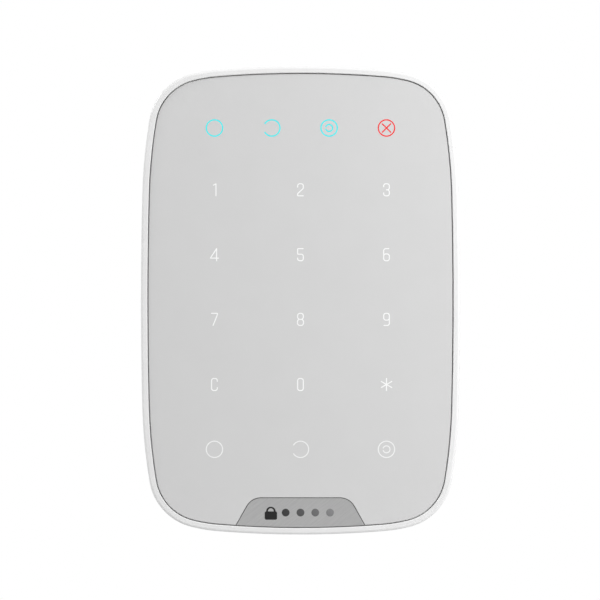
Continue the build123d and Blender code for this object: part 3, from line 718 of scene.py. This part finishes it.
@dataclass
class NamePlate(SubAssembly):
    """Brushed plate with a generic mark: a padlock and four dots that fade from black to grey."""

    aluminium: Colour = (0.66, 0.66, 0.66)
    tape: Colour = (0.02, 0.02, 0.02)
    mark_height: float = 4.6 * MM
    mark_width: float = 23.6 * MM
    mark_thickness: float = 0.05 * MM
    mark_sink: float = 0.01 * MM
    dome_radius: float = 4000 * MM
    dot_radius: float = 1.25 * MM
    dot_rounding: float = 0.02 * MM
    dots: int = 4
    lock_width: float = 0.86 * 4.6 * MM
    lock_height: float = 0.58 * 4.6 * MM
    lock_corner: float = 0.5 * MM
    bow_share: float = 0.31
    bow_wire: float = 0.30 * MM
    bow_overlap: float = 0.1 * MM
    inks: tuple[float, ...] = (0.004, 0.03, 0.075, 0.13, 0.20)
    bluish: float = 1.02
    centre: Vector = field(init=False)

    def __post_init__(self) -> None:
        """Finds the middle of the plate's front face from the frame."""
        low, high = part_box("name_plate")
        self.centre = Vector(((low.x + high.x) / 2, low.y, (low.z + high.z) / 2))

    def dress(self) -> None:
        """Gives the plate its diagonal hairlines."""
        dress("name_plate", Metal("brushed_aluminium", self.aluminium, roughness=0.42, lay=Lay.DIAGONAL,
                                  contrast=0.09, fineness=1.8, anisotropy=0.55).material())
        dress("plate_adhesive", Moulding("black_tape", self.tape, roughness=0.7).material())

    def front_depth(self, x: float, z: float) -> float:
        """Y of the plate's domed front at a place.

        Args:
            x: Place across.
            z: Place up.

        Returns:
            The Y coordinate, in metres.
        """
        low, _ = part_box("touch_panel")
        return low.y + (x * x + z * z) / (2 * self.dome_radius)

    def ink_depth(self, x: float, z: float) -> float:
        """Y of the middle of the ink, which is sunk a little into the plate.

        Args:
            x: Place across.
            z: Place up.

        Returns:
            The Y coordinate, in metres.
        """
        return self.front_depth(x, z) - self.mark_thickness / 2 + self.mark_sink

    def lock_place(self) -> float:
        """X of the padlock's middle, at the left end of the mark.

        Returns:
            The X coordinate, in metres.
        """
        return self.centre.x - self.mark_width / 2 + self.mark_height / 2

    def ink(self, index: int) -> bpy.types.Material:
        """Printed ink of one of the mark's shapes.

        Args:
            index: Place in the row, from the left.

        Returns:
            The material.
        """
        shade = self.inks[index]
        colour = (shade, shade, shade * self.bluish)
        return Moulding(f"ink_{index}", colour, roughness=0.4, depth=0.000002).material()

    def lay_on_plate(self, piece: bpy.types.Object, name: str, index: int) -> None:
        """Finishes one printed shape and fixes it to the case.

        Args:
            piece: The shape, drawn about its own place.
            name: Its name.
            index: Its ink.
        """
        settle(piece, name)
        piece.data.materials.clear()
        piece.data.materials.append(self.ink(index))
        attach(piece, Body.UNIT.value)
        log.info("%s is on the plate", name)

    def build_dot(self, index: int) -> None:
        """Adds one round dot with a softly rounded rim.

        Args:
            index: Place in the row; 0 is the padlock's.
        """
        pitch = (self.mark_width - self.mark_height) / self.dots
        x = self.lock_place() + pitch * index
        z = self.centre.z
        deselect()
        bpy.ops.mesh.primitive_cylinder_add(
            vertices=64, radius=self.dot_radius, depth=self.mark_thickness,
            location=(x, self.ink_depth(x, z), z), rotation=(math.radians(90), 0, 0),
        )
        dot = bpy.context.object
        bevel_edges(dot, self.dot_rounding, 2)
        self.lay_on_plate(dot, f"plate_dot_{index}", index)

    def build_lock_body(self, x: float, y: float, low_z: float) -> None:
        """Adds the padlock's body, a plate with rounded corners.

        Args:
            x: Middle of the padlock.
            y: Middle of the ink's thickness.
            low_z: Lower edge of the padlock.
        """
        deselect()
        bpy.ops.mesh.primitive_cube_add(size=1, location=(x, y, low_z + self.lock_height / 2))
        body = bpy.context.object
        body.scale = (self.lock_width, self.mark_thickness, self.lock_height)
        bpy.ops.object.transform_apply(location=False, rotation=False, scale=True)
        only(body)
        bpy.ops.object.mode_set(mode="EDIT")
        bpy.ops.mesh.select_mode(type="EDGE")
        bpy.ops.mesh.select_all(action="DESELECT")
        bpy.ops.object.mode_set(mode="OBJECT")
        for edge in body.data.edges:
            ends = [body.data.vertices[v].co for v in edge.vertices]
            edge.select = abs(ends[0].y - ends[1].y) > self.mark_thickness / 2
        bpy.ops.object.mode_set(mode="EDIT")
        bpy.ops.mesh.bevel(offset=self.lock_corner, segments=6, affect="EDGES")
        bpy.ops.object.mode_set(mode="OBJECT")
        self.lay_on_plate(body, "plate_padlock_body", 0)

    def build_lock_bow(self, x: float, y: float, low_z: float) -> None:
        """Adds the padlock's shackle, a flattened half ring that starts inside the body.

        Args:
            x: Middle of the padlock.
            y: Middle of the ink's thickness.
            low_z: Lower edge of the padlock.
        """
        top = low_z + self.lock_height
        deselect()
        bpy.ops.mesh.primitive_torus_add(
            major_segments=48, minor_segments=12,
            major_radius=self.lock_width * self.bow_share, minor_radius=self.bow_wire,
            location=(x, y, top + self.bow_overlap / 2), rotation=(math.radians(90), 0, 0),
        )
        bow = bpy.context.object
        only(bow)
        bpy.ops.object.transform_apply(location=False, rotation=True, scale=True)
        bpy.ops.object.mode_set(mode="EDIT")
        bpy.ops.mesh.select_all(action="SELECT")
        bpy.ops.mesh.bisect(plane_co=(x, y, top - self.bow_overlap), plane_no=(0, 0, 1),
                            clear_inner=True, use_fill=True)
        bpy.ops.object.mode_set(mode="OBJECT")
        bow.scale.y = self.mark_thickness / (2 * self.bow_wire)
        self.lay_on_plate(bow, "plate_padlock_shackle", 0)

    def build(self) -> None:
        """Adds the whole mark: the padlock, then the dots."""
        x = self.lock_place()
        y = self.ink_depth(x, self.centre.z)
        low_z = self.centre.z - self.mark_height / 2
        self.build_lock_body(x, y, low_z)
        self.build_lock_bow(x, y, low_z)
        for index in range(1, self.dots + 1):
            self.build_dot(index)


@dataclass
class Electronics(SubAssembly):
    """Foil, light guide, circuit board and what is soldered to it."""

    acrylic: Colour = (0.82, 0.85, 0.85)
    epoxy: Colour = (0.018, 0.018, 0.019)
    nylon: Colour = (0.66, 0.60, 0.45)
    tin: Colour = (0.66, 0.66, 0.63)
    ceramic: Colour = (0.30, 0.20, 0.12)
    resin: Colour = (0.85, 0.78, 0.40)
    nickel: Colour = (0.70, 0.67, 0.60)
    tape: Colour = (0.72, 0.70, 0.62)

    def dress(self) -> None:
        """Gives each component its finish."""
        dress("touch_sensor_foil", PrintedFilm("sensor_film").material())
        dress("light_guide", Moulding("frosted_acrylic", self.acrylic, roughness=0.3,
                                      subsurface=0.2).material())
        dress("main_board", Laminate("board_laminate").material())
        epoxy = Moulding("black_epoxy", self.epoxy, roughness=0.5, grain=5000.0).material()
        for node in ("microcontroller", "buzzer", "power_switch", "tamper_switch"):
            dress(node, epoxy)
        natural = Moulding("natural_nylon", self.nylon, roughness=0.5).material()
        dress("foil_connector", natural)
        dress("power_switch_stem", natural)
        tin = Metal("tinned_sheet", self.tin, roughness=0.32, contrast=0.06).material()
        dress("radio_shield", tin)
        dress("crystal", tin)
        dress("chip_components", Moulding("fired_ceramic", self.ceramic, roughness=0.6).material())
        resin = Moulding("lamp_resin", self.resin, roughness=0.25, specular=0.6).material()
        for node in ("status_leds", "fault_led", "backlight_leds"):
            dress(node, resin)
        nickel = Metal("nickel_spring", self.nickel, roughness=0.26, contrast=0.05).material()
        for node in ("antennas", "battery_contacts", "battery_springs", "tamper_spring"):
            dress(node, nickel)
        dress("panel_adhesive", Moulding("panel_tape", self.tape, roughness=0.6).material())


@dataclass
class Batteries(SubAssembly):
    """Four cells in their cradle."""

    points_up: tuple[bool, ...] = (True, False, True, False)
    cradle: Colour = (0.025, 0.025, 0.027)

    def dress(self) -> None:
        """Gives each cell its printed sleeve, with the band at its positive end."""
        for index, up in enumerate(self.points_up, start=1):
            node = f"battery_{index}"
            low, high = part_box(node)
            dress(node, CellSleeve(f"cell_sleeve_{index}", low.z, high.z, up).material())
        dress("battery_cradle", Moulding("black_cradle", self.cradle, roughness=0.5,
                                         grain=2600.0).material())


@dataclass
class WallSide(SubAssembly):
    """What shows from behind: bracket, label, power button and tamper plunger."""

    bracket: Colour = (0.74, 0.74, 0.74)
    button: Colour = (0.42, 0.43, 0.43)

    def dress(self) -> None:
        """Gives the wall side its finishes."""
        dress("mounting_bracket", Moulding("grained_white_bracket", self.bracket, roughness=0.52,
                                           grain=2200.0, depth=0.00002).material())
        grey = Moulding("grey_button", self.button, roughness=0.45, grain=3000.0, depth=0.00001).material()
        dress("power_button", grey)
        dress("tamper_plunger", grey)
        low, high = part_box("rating_label")
        centre, half = (low + high) / 2, (high - low) / 2
        dress("rating_label", CoatedPaper("blank_label", (centre.x, centre.z), (half.x, half.z)).material())


# ------------------------------------------------------------------------------ stage
@dataclass(frozen=True)
class Lamp:
    """Soft square lamp that faces the keypad: its place and side in metres, its power in watts."""

    name: str
    place: tuple[float, float, float]
    side: float
    watts: float

    def light(self) -> None:
        """Adds the lamp to the scene."""
        data = bpy.data.lights.new(self.name, "AREA")
        data.size = self.side
        data.energy = self.watts
        lamp = bpy.data.objects.new(self.name, data)
        lamp.location = self.place
        lamp.rotation_euler = (-Vector(self.place)).to_track_quat("-Z", "Y").to_euler()
        bpy.context.scene.collection.objects.link(lamp)


@dataclass
class Studio:
    """Pale floor, white surroundings, soft lamps and the frontal camera."""

    lens: float = 120.0
    sensor: float = 36.0
    view_height: float = 192.72 * MM
    rim_plane: float = -13.3 * MM
    floor_drop: float = 160 * MM
    floor_half: float = 400 * MM
    floor_grey: Colour = (0.62, 0.62, 0.62)
    aim: tuple[float, float] = (-0.15 * MM, 0.16 * MM)
    glow_below: float = 0.08
    glow_above: float = 0.98
    lamps: tuple[Lamp, ...] = (
        Lamp("key_lamp", (0.42, -0.31, 0.22), 0.3, 2.7),
        Lamp("fill_lamp", (-0.5, -0.41, -0.35), 0.4, 1.1),
        Lamp("rake_lamp", (-0.6, -0.1, 0.42), 0.12, 2.4),
    )

    def build_floor(self) -> None:
        """Adds the floor, out of the frontal view but under every other one."""
        deselect()
        bpy.ops.mesh.primitive_plane_add(size=2 * self.floor_half, location=(0, 0, -self.floor_drop))
        floor = bpy.context.object
        floor.name = "studio_floor"
        floor.data.materials.append(Moulding("pale_floor", self.floor_grey, roughness=0.6, grain=60.0,
                                             depth=0.0001, drift=0.02).material())

    def build_surroundings(self) -> None:
        """Adds a white world that lights more from above than from below."""
        world = bpy.data.worlds.new("white_studio")
        bpy.context.scene.world = world
        world.use_nodes = True
        sheet = Sheet(world.node_tree)
        output = world.node_tree.nodes["World Output"]
        seen = world.node_tree.nodes["Background"]
        seen.inputs["Color"].default_value = (1, 1, 1, 1)
        seen.inputs["Strength"].default_value = 1.0
        way = sheet.add("ShaderNodeTexCoord").outputs["Generated"]
        split = sheet.add("ShaderNodeSeparateXYZ", Vector=way)
        rise = sheet.span(split.outputs["Z"], -1.0, 1.0, self.glow_below, self.glow_above)
        light = sheet.add("ShaderNodeBackground", Strength=rise)
        mixer = sheet.add("ShaderNodeMixShader")
        links = world.node_tree.links
        links.new(sheet.add("ShaderNodeLightPath").outputs["Is Camera Ray"], mixer.inputs[0])
        links.new(light.outputs[0], mixer.inputs[1])
        links.new(seen.outputs[0], mixer.inputs[2])
        links.new(mixer.outputs[0], output.inputs["Surface"])

    def build_camera(self) -> None:
        """Adds the frontal camera, far enough off for the outline to show without its sides."""
        data = bpy.data.cameras.new("front_camera")
        data.lens = self.lens
        data.sensor_width = self.sensor
        distance = self.view_height / 2 / (self.sensor / 2 / self.lens)
        camera = bpy.data.objects.new("front_camera", data)
        camera.location = (self.aim[0], self.rim_plane - distance, self.aim[1])
        camera.rotation_euler = (math.radians(90), 0, 0)
        bpy.context.scene.collection.objects.link(camera)
        bpy.context.scene.camera = camera

    def build(self) -> None:
        """Sets up the whole studio."""
        bpy.context.scene.view_settings.view_transform = "Standard"
        self.build_floor()
        self.build_surroundings()
        for lamp in self.lamps:
            lamp.light()
        self.build_camera()


def main() -> None:
    """Builds the keypad's looks piece by piece."""
    logging.basicConfig(level=logging.INFO, format="%(name)s: %(message)s")
    assemblies = (Case(), TouchFront(), NamePlate(), Electronics(), Batteries(), WallSide())
    for assembly in assemblies:
        assembly.dress()
        assembly.build()
        log.info("%s is ready", type(assembly).__name__)
    Studio().build()


if __name__ == "__main__":
    main()
